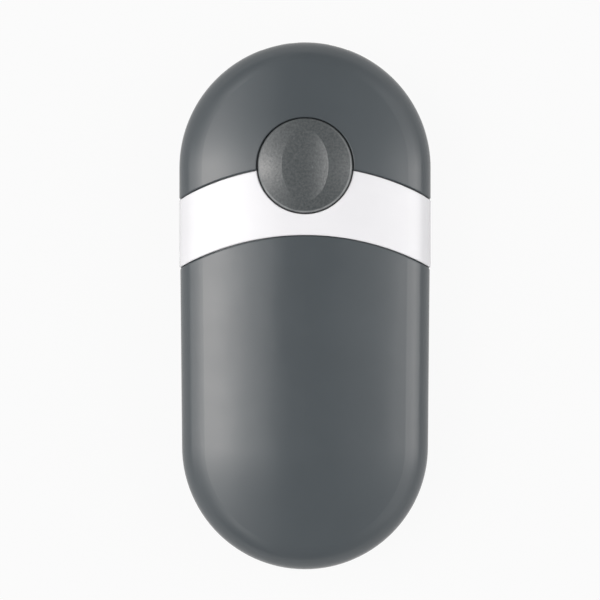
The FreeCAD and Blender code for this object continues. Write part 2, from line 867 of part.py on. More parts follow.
def print_least_gap(name, centre, axis, across, radius, pitch, turns, wire):
    steps = 24
    spots = [helix_spot(centre, axis, across, radius, pitch, 2 * math.pi * i / steps)[0]
             for i in range(int(turns * steps) + 1)]
    gap = min(a.distanceToPoint(b) for i, a in enumerate(spots) for b in spots[i + steps // 2:]) - wire
    print(name, "least gap between turns", round(gap, 3))


def make_latch_spring():
    pitch = (latch_spring_room - 0.2 - latch_spring_wire) / latch_spring_turns
    centre = point(0, slide_end + 0.1 + latch_spring_wire / 2, spring_height())
    settings = (centre, point(0, 1, 0), point(0, 0, 1), latch_spring_radius, pitch, latch_spring_turns)
    print_least_gap("latch spring", *settings, latch_spring_wire)
    start, way = helix_spot(*settings[:5], 0)
    return tube_along(coil_edges(*settings), start, way, latch_spring_wire)


def make_hinge_spring():
    # the coil starts below the pin and ends above it, and both legs run back towards the case's middle
    turns = hinge_spring_turns
    centre = point(-hinge_spring_pitch * turns / 2, hinge_y, parting)
    settings = (centre, point(1, 0, 0), point(0, 0, -1), hinge_spring_radius, hinge_spring_pitch, turns)
    print_least_gap("hinge spring", *settings, hinge_spring_wire)
    start, start_way = helix_spot(*settings[:5], 0)
    end, end_way = helix_spot(*settings[:5], turns * 2 * math.pi)
    lower_foot = start - start_way * (trough_radius() - 0.6)
    upper_foot = end + end_way * 4.5
    edges = [line(lower_foot, start)] + coil_edges(*settings) + [line(end, upper_foot)]
    return tube_along(edges, lower_foot, start_way, hinge_spring_wire)


def main():
    os.makedirs("parts", exist_ok=True)
    nodes = {
        "top_cap": make_top_cap(),
        "white_band": make_white_band(),
        "front_shell": make_front_shell(),
        "front_frame": make_front_frame(),
        "latch_keeper": make_latch_keeper(),
        "keeper_screws": make_keeper_screws(),
        "cap_screws": make_front_screws(cap_screw_places()),
        "band_screws": make_front_screws(band_screw_places()),
        "shell_screws": make_front_screws(shell_screw_places()),
        "latch_slide": make_latch_slide(),
        "latch_spring": make_latch_spring(),
        "release_button": make_release_button(),
        "die_mount": make_die_mount(),
        "die_foam": make_die_foam(),
        "text_plate": make_text_plate(),
        "rear_shell": make_rear_shell(),
        "rear_frame": make_rear_frame(),
        "rear_frame_screws": make_rear_frame_screws(),
        "ink_pad_tray": make_ink_pad_tray(),
        "ink_pad": make_ink_pad(),
        "strike_spring": make_strike_spring(),
        "strike_screw": make_strike_screw(),
        "hinge_pin": make_hinge_pin(),
        "hinge_spring": make_hinge_spring(),
    }
    for name, shape in nodes.items():
        shape.exportStep("parts/" + name + ".step")
        solids = shape.Solids
        volume = sum(solid.Volume for solid in solids)
        print(name, len(solids), "solids", round(volume, 1), "mm3, valid", shape.isValid())


main()
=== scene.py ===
import bmesh
import bpy
import math
from mathutils import Matrix, Vector


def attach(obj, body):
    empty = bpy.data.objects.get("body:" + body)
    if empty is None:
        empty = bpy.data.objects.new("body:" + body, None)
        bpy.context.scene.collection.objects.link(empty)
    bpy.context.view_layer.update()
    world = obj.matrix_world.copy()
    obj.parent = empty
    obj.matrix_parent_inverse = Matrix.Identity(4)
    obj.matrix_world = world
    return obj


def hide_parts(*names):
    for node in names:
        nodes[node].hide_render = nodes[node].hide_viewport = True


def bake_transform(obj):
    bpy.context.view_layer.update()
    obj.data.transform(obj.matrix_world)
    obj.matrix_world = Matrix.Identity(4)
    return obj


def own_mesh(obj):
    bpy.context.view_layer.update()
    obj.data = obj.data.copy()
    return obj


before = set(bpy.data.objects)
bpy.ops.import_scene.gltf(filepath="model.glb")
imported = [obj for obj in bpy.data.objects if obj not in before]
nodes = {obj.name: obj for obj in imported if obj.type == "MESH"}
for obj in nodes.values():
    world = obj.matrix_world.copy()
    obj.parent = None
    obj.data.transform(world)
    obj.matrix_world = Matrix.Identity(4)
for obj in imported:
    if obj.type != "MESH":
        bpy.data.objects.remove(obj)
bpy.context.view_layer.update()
millimetre = 0.001
print("frame loaded,", len(nodes), "nodes")


def toLinear(hexCode):
    # "#RRGGBB" as it looks on a screen, to the linear colour that shaders take
    parts = [int(hexCode[start:start + 2], 16) / 255 for start in (1, 3, 5)]
    linear = [part / 12.92 if part <= 0.04045 else ((part + 0.055) / 1.055) ** 2.4 for part in parts]
    return (*linear, 1.0)


def addNode(tree, kind, settings={}, links={}):
    # links gives each input, by name or number, a plain value or another node's output
    node = tree.nodes.new(kind)
    for name, value in settings.items():
        if name == "stops":
            fillRamp(node.color_ramp, value)
        else:
            setattr(node, name, value)
    for socket, value in links.items():
        if isinstance(value, bpy.types.NodeSocket):
            tree.links.new(value, node.inputs[socket])
        else:
            node.inputs[socket].default_value = value
    return node


def fillRamp(ramp, stops):
    # stops are (place, brightness) pairs; a new ramp already holds one stop at each end
    for stop in stops[1:-1]:
        ramp.elements.new(stop[0])
    for element, (place, level) in zip(ramp.elements, stops):
        element.position = place
        element.color = (level, level, level, 1.0)


# Camera: straight above the front face, as in the photo

cameraLook = {
    "rimHeight": 0.01155,         # metres, the widest outline of the case
    "distance": 0.55,             # from that outline
    "widthSeen": 0.12432,         # what the frame spans there
    "aside": -0.001036, "along": 0.00119,
    "nearest": 0.01, "furthest": 20.0,
    "sensor": 36.0,               # millimetres
}


def placeCamera(look):
    lens = bpy.data.cameras.new("frontCamera")
    lens.sensor_width = look["sensor"]
    lens.lens = look["sensor"] * look["distance"] / look["widthSeen"]
    lens.clip_start = look["nearest"]
    lens.clip_end = look["furthest"]
    camera = bpy.data.objects.new("frontCamera", lens)
    camera.location = (look["aside"], look["along"], look["rimHeight"] + look["distance"])
    bpy.context.scene.collection.objects.link(camera)
    bpy.context.scene.camera = camera


placeCamera(cameraLook)
bpy.context.scene.view_settings.view_transform = "Standard"
print("camera placed")


# Studio: one broad soft light on the left, a weaker one on the right, dark straight above, white floor

studioLook = {
    "brightest": 9.0,
    "roomColour": "#FFFFFF", "boxColour": "#FFF9F5",      # the boxes are a little warmer than the room
    # angle from straight above, in degrees, left to right, and the light that comes from there
    "acrossStops": [
        (-90, 2.0), (-78, 2.4), (-62, 3.3), (-46, 4.9), (-38, 6.6), (-33, 8.2), (-30, 7.2), (-25, 4.7),
        (-20, 2.6), (-14, 1.9), (-11, 1.1), (-9.5, 0.0), (9, 0.0), (14, 0.3), (25, 0.6), (30, 1.1),
        (38, 3.3), (68, 4.2), (78, 2.9), (90, 2.5)],
    # how that light falls off towards the two ends of the case, from 0 across to 1 along
    "alongStops": [
        (0.0, 1.0), (0.02, 0.93), (0.06, 0.78), (0.1, 0.66), (0.17, 0.49), (0.24, 0.35),
        (0.37, 0.25), (0.48, 0.2), (0.58, 0.21), (0.69, 0.1), (0.85, 0.04), (1.0, 0.03)],
    # even light from the room, more of it at the horizon; a height is the upward part of a direction
    "everywhere": 0.24, "horizon": 0.35, "horizonHeight": 0.2,
    "whiteHeight": 0.1,           # below this the white surroundings show in gloss as well
    "floorSize": 8.0,             # metres
    "floorGap": 0.00005,          # keeps the flat back out of the floor's own plane
    "floorColour": "#B4B4B4",
    "floorGlow": 0.93,
    "mirroredShare": 0.5,         # at full strength the case's rim comes out far brighter than in the photo
}


def whoLooks(tree, look):
    # 1 where the camera sees the white surroundings, and the share of them that gloss, metal and glass show
    path = addNode(tree, "ShaderNodeLightPath").outputs
    mirrored = addNode(tree, "ShaderNodeMath", {"operation": "MAXIMUM"},
                       {0: path["Is Glossy Ray"], 1: path["Is Transmission Ray"]})
    shown = addNode(tree, "ShaderNodeMath", {"operation": "MULTIPLY"},
                    {0: mirrored.outputs[0], 1: look["mirroredShare"]})
    return path["Is Camera Ray"], shown.outputs[0]


def lightStudio(look):
    world = bpy.data.worlds.new("softStudio")
    world.use_nodes = True
    bpy.context.scene.world = world
    tree = world.node_tree
    tree.nodes.clear()
    direction = addNode(tree, "ShaderNodeTexCoord").outputs["Generated"]
    parts = addNode(tree, "ShaderNodeSeparateXYZ", {}, {0: direction}).outputs
    tilt = addNode(tree, "ShaderNodeMath", {"operation": "ARCTAN2"}, {0: parts["X"], 1: parts["Z"]})
    across = addNode(tree, "ShaderNodeMapRange", {}, {
        "Value": tilt.outputs[0], "From Min": -math.pi / 2, "From Max": math.pi / 2})
    acrossStops = [((angle + 90) / 180, light / look["brightest"]) for angle, light in look["acrossStops"]]
    boxes = addNode(tree, "ShaderNodeValToRGB", {"stops": acrossStops}, {"Fac": across.outputs["Result"]})
    along = addNode(tree, "ShaderNodeMath", {"operation": "ABSOLUTE"}, {0: parts["Y"]})
    fall = addNode(tree, "ShaderNodeValToRGB", {"stops": look["alongStops"]}, {"Fac": along.outputs[0]})
    softBoxes = addNode(tree, "ShaderNodeMath", {"operation": "MULTIPLY"},
                        {0: boxes.outputs["Color"], 1: fall.outputs["Color"]})
    walls = addNode(tree, "ShaderNodeMapRange", {}, {
        "Value": parts["Z"], "From Max": look["horizonHeight"],
        "To Min": look["horizon"], "To Max": look["everywhere"]})
    light = addNode(tree, "ShaderNodeMath", {"operation": "MULTIPLY_ADD"},
                    {0: softBoxes.outputs[0], 1: look["brightest"], 2: walls.outputs["Result"]})
    warmth = addNode(tree, "ShaderNodeMix", {"data_type": "RGBA"}, {
        0: softBoxes.outputs[0], 6: toLinear(look["roomColour"]), 7: toLinear(look["boxColour"])})
    studio = addNode(tree, "ShaderNodeBackground", {},
                     {"Color": warmth.outputs[2], "Strength": light.outputs[0]})
    white = addNode(tree, "ShaderNodeBackground", {}, {"Color": (1.0, 1.0, 1.0, 1.0), "Strength": 1.0})
    straight, mirrored = whoLooks(tree, look)
    low = addNode(tree, "ShaderNodeMapRange", {}, {
        "Value": parts["Z"], "From Max": look["whiteHeight"], "To Min": 1.0, "To Max": 0.0})
    lowMirrored = addNode(tree, "ShaderNodeMath", {"operation": "MULTIPLY"},
                          {0: mirrored, 1: low.outputs["Result"]})
    seen = addNode(tree, "ShaderNodeMath", {"operation": "ADD", "use_clamp": True},
                   {0: straight, 1: lowMirrored.outputs[0]})
    mixed = addNode(tree, "ShaderNodeMixShader", {},
                    {0: seen.outputs[0], 1: studio.outputs[0], 2: white.outputs[0]})
    addNode(tree, "ShaderNodeOutputWorld", {}, {"Surface": mixed.outputs[0]})


def layFloor(look):
    shape = bmesh.new()
    bmesh.ops.create_grid(shape, x_segments=1, y_segments=1, size=look["floorSize"] / 2)
    bmesh.ops.translate(shape, vec=(0.0, 0.0, -look["floorGap"]), verts=shape.verts)
    floor = addPiece("studioFloor", shape)
    paint = bpy.data.materials.new("whiteStudioPaint")
    paint.use_nodes = True
    tree = paint.node_tree
    tree.nodes.clear()
    matte = addNode(tree, "ShaderNodeBsdfDiffuse", {}, {"Color": toLinear(look["floorColour"])})
    glow = addNode(tree, "ShaderNodeEmission", {}, {"Strength": 1.0})
    straight, mirrored = whoLooks(tree, look)
    seen = addNode(tree, "ShaderNodeMath", {"operation": "MAXIMUM"}, {0: straight, 1: mirrored})
    share = addNode(tree, "ShaderNodeMath", {"operation": "MULTIPLY"},
                    {0: seen.outputs[0], 1: look["floorGlow"]})
    mixed = addNode(tree, "ShaderNodeMixShader", {},
                    {0: share.outputs[0], 1: matte.outputs[0], 2: glow.outputs[0]})
    # seen from underneath the floor is clear, so that the flat back can be looked at
    underside = addNode(tree, "ShaderNodeNewGeometry").outputs["Backfacing"]
    clear = addNode(tree, "ShaderNodeBsdfTransparent").outputs[0]
    oneSided = addNode(tree, "ShaderNodeMixShader", {}, {0: underside, 1: mixed.outputs[0], 2: clear})
    addNode(tree, "ShaderNodeOutputMaterial", {}, {"Surface": oneSided.outputs[0]})
    floor.data.materials.append(paint)


def addPiece(name, shape):
    mesh = bpy.data.meshes.new(name)
    shape.to_mesh(mesh)
    shape.free()
    piece = bpy.data.objects.new(name, mesh)
    bpy.context.scene.collection.objects.link(piece)
    return piece


lightStudio(studioLook)
layFloor(studioLook)
print("studio lit")


# Finishes: each starts from a real material and how its surface was made. Their sizes, and those of the soft
# layers and the springs further down, are in millimetres. A pattern's detail says how fine it goes, and its
# seed sets it apart from the others of the same finish.

noiseSpan = (0.3, 0.7)            # nearly all that a noise texture gives lies between these


def startFinish(name, surface):
    # surface gives the shader's constant sockets
    finish = bpy.data.materials.new(name)
    finish.use_nodes = True
    tree = finish.node_tree
    shader = tree.nodes["Principled BSDF"]
    for socket, value in surface.items():
        shader.inputs[socket].default_value = value
    coords = addNode(tree, "ShaderNodeTexCoord").outputs["Object"]
    return finish, tree, shader, coords


def drift(tree, coords, size, low=0.0, high=1.0, detail=2.0, seed=0.0):
    # a number that wanders between low and high over patches of this size
    noise = addNode(tree, "ShaderNodeTexNoise", {"noise_dimensions": "4D"},
                    {"Vector": coords, "W": seed, "Scale": 1 / (size * millimetre), "Detail": detail})
    spread = addNode(tree, "ShaderNodeMapRange", {}, {
        "Value": noise.outputs["Fac"], "From Min": noiseSpan[0], "From Max": noiseSpan[1],
        "To Min": low, "To Max": high})
    return spread.outputs["Result"]


def cloudyColour(tree, coords, look, size, detail, seed=0.0):
    # the finish's own colour, which goes over to its paler one in patches of this size
    clouds = drift(tree, coords, size, detail=detail, seed=seed)
    mixed = addNode(tree, "ShaderNodeMix", {"data_type": "RGBA"},
                    {0: clouds, 6: toLinear(look["colour"]), 7: toLinear(look["paler"])})
    return mixed.outputs[2]


def coverPatchily(tree, colour, cover, where, patches):
    # another colour lies in patches over the first, where the mask lets it; its share comes back as well
    share = addNode(tree, "ShaderNodeMath", {"operation": "MULTIPLY"}, {0: where, 1: patches}).outputs[0]
    mixed = addNode(tree, "ShaderNodeMix", {"data_type": "RGBA"}, {0: share, 6: colour, 7: toLinear(cover)})
    return mixed.outputs[2], share


def unevenRelief(tree, coords, size, depth, detail, seed, under=None):
    # bumps of this size and depth, laid over another relief if one is given
    links = {"Height": drift(tree, coords, size, detail=detail, seed=seed), "Distance": depth * millimetre}
    if under is not None:
        links["Normal"] = under
    return addNode(tree, "ShaderNodeBump", {}, links).outputs["Normal"]


def feed(tree, shader, colour, roughness, normal):
    for socket, source in (("Base Color", colour), ("Roughness", roughness), ("Normal", normal)):
        tree.links.new(source, shader.inputs[socket])


polishedCase = {
    "colour": "#494F53", "paler": "#4D5357", "flowSize": 14.0,
    "smooth": 0.17, "dull": 0.23, "smearSize": 9.0,
    "rippleSize": 2.6, "rippleDepth": 0.003,
    "speckSize": 0.35, "speckDepth": 0.0006,
}

whiteBand = {
    "colour": "#ECECEF", "paler": "#E8E8EB", "flowSize": 12.0,
    "smooth": 0.18, "dull": 0.25, "smearSize": 7.0,
    "rippleSize": 2.6, "rippleDepth": 0.003,
    "speckSize": 0.35, "speckDepth": 0.0006,
}


def polishedAbs(name, look):
    # ABS from a polished mould: deep gloss, the faint ripple of shrinkage, a dry haze where it was handled
    finish, tree, shader, coords = startFinish(name, {"IOR": 1.55})
    colour = cloudyColour(tree, coords, look, look["flowSize"], detail=3.0)
    roughness = drift(tree, coords, look["smearSize"], look["smooth"], look["dull"], detail=4.0, seed=2.0)
    ripple = unevenRelief(tree, coords, look["rippleSize"], look["rippleDepth"], detail=1.0, seed=5.0)
    # real polishing marks are finer than 0.1 mm, drawn coarser so that they show
    specks = unevenRelief(tree, coords, look["speckSize"], look["speckDepth"], detail=2.0, seed=7.0,
                          under=ripple)
    feed(tree, shader, colour, roughness, specks)
    return finish


satinButton = {
    "colour": "#424648", "paler": "#565A5B", "patchSize": 0.45,
    "smooth": 0.2, "dull": 0.28, "smearSize": 4.0,
    "grainSize": 0.42, "grainDepth": 0.014,
    "middle": 28.5, "radius": 9.65,      # of the button, along the length
    # painted highlight along the rim: its colour, how far in from the edge it lies, its width, and its
    # patches with their least share
    "rimHighlightColour": "#9A9D9E", "rimHighlightIn": 0.28, "rimHighlightWidth": 0.27,
    "rimHighlightPatch": 1.6, "rimHighlightLeast": 0.45,
}


# painted highlight: a pale ring painted along the rounded rim, strongest on its lower side (towards -Y) and
# fading out towards the upper side, in patches
def paintedRimHighlight(tree, coords, look, colour):
    # the rounded rim rubbed pale by thumbs, most of all on the side that the thumb comes from
    centred = addNode(tree, "ShaderNodeMapping", {}, {
        "Vector": coords, "Location": (0.0, -look["middle"] * millimetre, 0.0),
        "Scale": (1.0, 1.0, 0.0)}).outputs[0]
    reach = addNode(tree, "ShaderNodeVectorMath", {"operation": "LENGTH"}, {0: centred}).outputs["Value"]
    ring = addNode(tree, "ShaderNodeMath", {"operation": "SUBTRACT"},
                   {0: reach, 1: (look["radius"] - look["rimHighlightIn"]) * millimetre})
    off = addNode(tree, "ShaderNodeMath", {"operation": "ABSOLUTE"}, {0: ring.outputs[0]})
    line = addNode(tree, "ShaderNodeMapRange", {}, {
        "Value": off.outputs[0], "From Max": look["rimHighlightWidth"] * millimetre, "To Min": 1.0, "To Max": 0.0})
    along = addNode(tree, "ShaderNodeSeparateXYZ", {}, {0: centred}).outputs["Y"]
    highlightSide = addNode(tree, "ShaderNodeMapRange", {}, {
        "Value": along, "From Min": -look["radius"] / 2 * millimetre,
        "From Max": look["radius"] * millimetre, "To Min": 1.0, "To Max": 0.0})
    where = addNode(tree, "ShaderNodeMath", {"operation": "MULTIPLY"},
                    {0: line.outputs["Result"], 1: highlightSide.outputs["Result"]})
    patches = drift(tree, coords, look["rimHighlightPatch"], low=look["rimHighlightLeast"], detail=3.0, seed=6.0)
    return coverPatchily(tree, colour, look["rimHighlightColour"], where.outputs[0], patches)[0]


def sparkGrainAbs(name, look):
    # ABS from a spark-eroded mould: satin, with a fine even grain that breaks the highlights up
    finish, tree, shader, coords = startFinish(name, {"IOR": 1.55, "Specular IOR Level": 0.6})
    # the colour carries a painted highlight along the rim
    colour = paintedRimHighlight(tree, coords, look, cloudyColour(tree, coords, look, look["patchSize"], detail=3.0))
    roughness = drift(tree, coords, look["smearSize"], look["smooth"], look["dull"], detail=2.0, seed=3.0)
    # spark grain is near 0.15 mm, drawn two to three times as coarse so that it shows
    grain = unevenRelief(tree, coords, look["grainSize"], look["grainDepth"], detail=2.0, seed=9.0)
    feed(tree, shader, colour, roughness, grain)
    return finish


mattFrame = {
    "colour": "#1B1D1F", "paler": "#25282A", "patchSize": 6.0,
    "smooth": 0.42, "dull": 0.58, "smearSize": 3.0,
    "grainSize": 0.3, "grainDepth": 0.012,
    # one pin to a cell of pinSpacing, not quite in rows; pinShare and pinRim are parts of a cell
    "pinSpacing": 11.0, "pinShare": 0.16, "pinRim": 0.02, "pinDepth": 0.03, "pinStray": 0.35,
}

keeperPlate = {**mattFrame, "pinDepth": 0.0, "grainSize": 0.36}      # too small a plate for pin marks


def ejectedFrameAbs(name, look):
    # glass-filled ABS from a coarse mould: dry black, with pin marks where the moulding was pushed out
    finish, tree, shader, coords = startFinish(name, {"IOR": 1.52})
    colour = cloudyColour(tree, coords, look, look["patchSize"], detail=5.0)
    roughness = drift(tree, coords, look["smearSize"], look["smooth"], look["dull"], detail=3.0, seed=4.0)
    grain = unevenRelief(tree, coords, look["grainSize"], look["grainDepth"], detail=2.0, seed=6.0)
    plan = addNode(tree, "ShaderNodeMapping", {}, {"Vector": coords, "Scale": (1.0, 1.0, 0.0)})
    cells = addNode(tree, "ShaderNodeTexVoronoi", {"voronoi_dimensions": "2D"}, {
        "Vector": plan.outputs[0], "Scale": 1 / (look["pinSpacing"] * millimetre),
        "Randomness": look["pinStray"]})
    pins = addNode(tree, "ShaderNodeMapRange", {}, {
        "Value": cells.outputs["Distance"],
        "From Min": look["pinShare"], "From Max": look["pinShare"] + look["pinRim"]})
    pressed = addNode(tree, "ShaderNodeBump", {}, {
        "Height": pins.outputs["Result"], "Distance": look["pinDepth"] * millimetre, "Normal": grain})
    feed(tree, shader, colour, roughness, pressed.outputs["Normal"])
    return finish


trayPlastic = {
    "colour": "#84888B", "paler": "#8E9295", "flowSize": 5.0,
    "smooth": 0.34, "dull": 0.48, "smearSize": 2.5,
    "rippleSize": 0.5, "rippleDepth": 0.006,
    # dried ink begins inkReach below inkTop, the tray's rim, and is thickest at the rim
    "inkColour": "#23243A", "inkTop": 8.75, "inkReach": 0.5, "inkMost": 0.8, "inkPatch": 2.2,
}

mountPlastic = {**trayPlastic, "colour": "#7C8184", "paler": "#868B8E", "inkTop": None}


def polypropylene(name, look):
    # moulded polypropylene: waxy sheen and soft flow marks, with ink dried in patches near the pad
    finish, tree, shader, coords = startFinish(name, {"IOR": 1.49})
    colour = cloudyColour(tree, coords, look, look["flowSize"], detail=4.0)
    if look["inkTop"] is not None:
        height = addNode(tree, "ShaderNodeSeparateXYZ", {}, {0: coords}).outputs["Z"]
        near = addNode(tree, "ShaderNodeMapRange", {}, {
            "Value": height, "From Min": (look["inkTop"] - look["inkReach"]) * millimetre,
            "From Max": look["inkTop"] * millimetre, "To Max": look["inkMost"]})
        patches = drift(tree, coords, look["inkPatch"], detail=5.0, seed=8.0)
        colour = coverPatchily(tree, colour, look["inkColour"], near.outputs["Result"], patches)[0]
    roughness = drift(tree, coords, look["smearSize"], look["smooth"], look["dull"], detail=3.0, seed=2.0)
    ripple = unevenRelief(tree, coords, look["rippleSize"], look["rippleDepth"], detail=2.0, seed=4.0)
    feed(tree, shader, colour, roughness, ripple)
    return finish


slideAcetal = {
    "colour": "#E3E1D8", "paler": "#D8D5CA", "patchSize": 4.0,
    "milkiness": 0.25, "milkDepth": 1.2,
    "smooth": 0.28, "dull": 0.4, "smearSize": 1.5,
    "rubSpacing": 0.35, "rubDepth": 0.006, "rubStretch": 0.04,
}


def naturalAcetal(name, look):
    # natural acetal: milky, faintly see-through white with rub lines along its travel
    finish, tree, shader, coords = startFinish(name, {
        "IOR": 1.48, "Subsurface Weight": look["milkiness"],
        "Subsurface Scale": look["milkDepth"] * millimetre, "Subsurface Radius": (1.0, 0.85, 0.6)})
    colour = cloudyColour(tree, coords, look, look["patchSize"], detail=3.0)
    roughness = drift(tree, coords, look["smearSize"], look["smooth"], look["dull"], detail=3.0, seed=1.0)
    stretched = addNode(tree, "ShaderNodeMapping", {}, {
        "Vector": coords, "Scale": (1.0, look["rubStretch"], 1.0)}).outputs[0]
    rub = unevenRelief(tree, stretched, look["rubSpacing"], look["rubDepth"], detail=2.0, seed=3.0)
    feed(tree, shader, colour, roughness, rub)
    return finish


zincScrew = {
    "colour": "#C9CBCC", "paler": "#AEB3B8", "patchSize": 0.9,
    "smooth": 0.22, "dull": 0.42, "smearSize": 0.45,
    "grainSize": 0.2, "grainDepth": 0.006, "stretch": (1.0, 1.0, 1.0),
}

springWire = {
    "colour": "#B9B9B6", "paler": "#9C9C9A", "patchSize": 1.2,
    "smooth": 0.2, "dull": 0.34, "smearSize": 0.6,
    "grainSize": 0.16, "grainDepth": 0.004, "stretch": (1.0, 1.0, 1.0),
}

groundPin = {
    "colour": "#C4C4C2", "paler": "#B2B2B0", "patchSize": 2.0,
    "smooth": 0.16, "dull": 0.3, "smearSize": 1.0,
    "grainSize": 0.18, "grainDepth": 0.004, "stretch": (0.1, 1.0, 1.0),      # marks along its length
}

strikeStrip = {
    "colour": "#A9A49A", "paler": "#B8A27C", "patchSize": 3.0,
    "smooth": 0.22, "dull": 0.36, "smearSize": 1.5,
    "grainSize": 0.22, "grainDepth": 0.004, "stretch": (1.0, 0.06, 1.0),     # marks along its length
}


def workedSteel(name, look):
    # plated, drawn, ground or rolled steel: bright, with cloudy patches and fine marks of how it was made
    finish, tree, shader, coords = startFinish(name, {"Metallic": 1.0})
    stretched = addNode(tree, "ShaderNodeMapping", {}, {
        "Vector": coords, "Scale": look["stretch"]}).outputs[0]
    colour = cloudyColour(tree, coords, look, look["patchSize"], detail=4.0)
    roughness = drift(tree, stretched, look["smearSize"], look["smooth"], look["dull"], detail=4.0, seed=3.0)
    marks = unevenRelief(tree, stretched, look["grainSize"], look["grainDepth"], detail=2.0, seed=6.0)
    feed(tree, shader, colour, roughness, marks)
    return finish


textRubber = {
    "colour": "#8F3A32", "paler": "#A04A40", "patchSize": 2.5,
    "smooth": 0.55, "dull": 0.7, "smearSize": 2.0,
    "lineSpacing": 0.3, "lineDepth": 0.0175, "lineWander": 0.4,
    # the raised faces begin at faceHeight and fade to clean rubber inkReach above it
    "inkColour": "#1D1E30", "faceHeight": 9.35, "inkReach": 0.25,
    "inkSmooth": 0.32, "inkPatch": 1.6, "inkLeast": 0.75,
}

waveSpacing = 0.314               # from one line of a wave texture to the next, at a scale of 1


def engravedRubber(name, look):
    # laser-engraved rubber: dusty red with burn lines in its low places, its raised faces dark with ink
    finish, tree, shader, coords = startFinish(name, {"IOR": 1.52})
    height = addNode(tree, "ShaderNodeSeparateXYZ", {}, {0: coords}).outputs["Z"]
    dusty = cloudyColour(tree, coords, look, look["patchSize"], detail=5.0)
    raised = addNode(tree, "ShaderNodeMapRange", {}, {
        "Value": height, "From Min": look["faceHeight"] * millimetre,
        "From Max": (look["faceHeight"] + look["inkReach"]) * millimetre, "To Min": 1.0, "To Max": 0.0})
    patches = drift(tree, coords, look["inkPatch"], low=look["inkLeast"], detail=4.0, seed=5.0)
    colour, inked = coverPatchily(tree, dusty, look["inkColour"], raised.outputs["Result"], patches)
    dry = drift(tree, coords, look["smearSize"], look["smooth"], look["dull"], detail=3.0, seed=2.0)
    roughness = addNode(tree, "ShaderNodeMix", {}, {0: inked, 2: dry, 3: look["inkSmooth"]})
    # the laser's lines are near 0.05 mm apart, drawn six times as wide so that they show
    lines = addNode(tree, "ShaderNodeTexWave", {"bands_direction": "Y"}, {
        "Vector": coords, "Scale": waveSpacing / (look["lineSpacing"] * millimetre),
        "Distortion": look["lineWander"]})
    burnt = addNode(tree, "ShaderNodeBump", {}, {
        "Height": lines.outputs["Fac"], "Distance": look["lineDepth"] * millimetre})
    feed(tree, shader, colour, roughness.outputs[0], burnt.outputs["Normal"])
    return finish


caseFinish = polishedAbs("moulded_abs_dark_gloss", polishedCase)
frameFinish = ejectedFrameAbs("moulded_abs_black_matt", mattFrame)
screwFinish = workedSteel("zinc_plated_steel", zincScrew)
finishes = {
    "top_cap": caseFinish,
    "front_shell": caseFinish,
    "rear_shell": caseFinish,
    "white_band": polishedAbs("moulded_abs_white_gloss", whiteBand),
    "release_button": sparkGrainAbs("moulded_abs_grey_satin", satinButton),
    "front_frame": frameFinish,
    "rear_frame": frameFinish,
    "latch_keeper": ejectedFrameAbs("moulded_abs_black_keeper", keeperPlate),
    "ink_pad_tray": polypropylene("moulded_polypropylene_tray", trayPlastic),
    "die_mount": polypropylene("moulded_polypropylene_mount", mountPlastic),
    "latch_slide": naturalAcetal("moulded_acetal_natural", slideAcetal),
    "rear_frame_screws": screwFinish,
    "strike_screw": screwFinish,
    "keeper_screws": screwFinish,
    "cap_screws": screwFinish,
    "band_screws": screwFinish,
    "shell_screws": screwFinish,
    "hinge_pin": workedSteel("ground_steel_pin", groundPin),
    "strike_spring": workedSteel("tempered_steel_strip", strikeStrip),
    "text_plate": engravedRubber("engraved_red_rubber", textRubber),
}
for nodeName, finish in finishes.items():
    for materialSlot in nodes[nodeName].material_slots:
        materialSlot.material = finish
print("finishes on", len(finishes), "nodes")


# The two soft layers, which stand in for their plain CAD solids

padLook = {
    "middle": (0.0, -29.05),      # of the pad and of the text plate
    "radius": 20.8, "low": 4.87, "high": 8.92, "stepsAround": 128,
    "edge": 0.9, "edgeSteps": 4,
    "room": 0.28,                 # how far the cover may swell
    "simulatedAt": 20.0,          # times its real size, as cloth is reckoned for sizes near a metre
    "voxel": 0.7, "pressure": 4.0, "frames": 20,
    "colour": "#151A45", "paler": "#20265A", "patchSize": 5.0,
    "dry": "#343B72", "dryMost": 0.7, "dryPatch": 3.0,
    "threadSpacing": 0.5, "threadDepth": 0.05,
    "smooth": 0.3, "dull": 0.62, "smearSize": 2.4,
}

sharpAngle = 50                   # degrees; an edge that turns by more stays a crisp line


def bakeModifiers(piece):
    # the mesh as the modifiers leave it takes the place of the one they started from
    seen = piece.evaluated_get(bpy.context.evaluated_depsgraph_get())
    mesh = bpy.data.meshes.new_from_object(seen)
    piece.modifiers.clear()
    piece.data = mesh


def shadeSmooth(piece):
    piece.data.polygons.foreach_set("use_smooth", [True] * len(piece.data.polygons))
    piece.data.set_sharp_from_angle(angle=math.radians(sharpAngle))


def sewPad(look):
    # a round cushion of woven cloth over felt, blown up a little by a cloth simulation, then brought to size
    scale = look["simulatedAt"] * millimetre
    shape = bmesh.new()
    bmesh.ops.create_cone(shape, cap_ends=True, segments=look["stepsAround"], radius1=look["radius"] * scale,
                          radius2=look["radius"] * scale, depth=(look["high"] - look["low"]) * scale)
    rim = [edge for edge in shape.edges if all(vert.co.z > 0 for vert in edge.verts)]
    bmesh.ops.bevel(shape, geom=rim, offset=look["edge"] * scale, affect="EDGES", segments=look["edgeSteps"],
                    profile=0.5, material=-1)
    pad = addPiece("inkPadCover", shape)
    remesh = pad.modifiers.new("remesh", "REMESH")
    remesh.mode = "VOXEL"
    remesh.voxel_size = look["voxel"] * scale
    bakeModifiers(pad)
    before = [vert.co.copy() for vert in pad.data.vertices]
    blowUp(pad, look)
    settle(pad, look, before)
    smoother = pad.modifiers.new("smoother", "SUBSURF")
    smoother.levels = 1
    smoother.render_levels = 1
    bakeModifiers(pad)
    shadeSmooth(pad)
    return pad


def blowUp(pad, look):
    cloth = pad.modifiers.new("cloth", "CLOTH")
    cloth.settings.use_pressure = True
    cloth.settings.uniform_pressure_force = look["pressure"]
    cloth.settings.effector_weights.gravity = 0.0
    for step in range(1, look["frames"] + 1):
        bpy.context.scene.frame_set(step)
    bakeModifiers(pad)
    bpy.context.scene.frame_set(1)


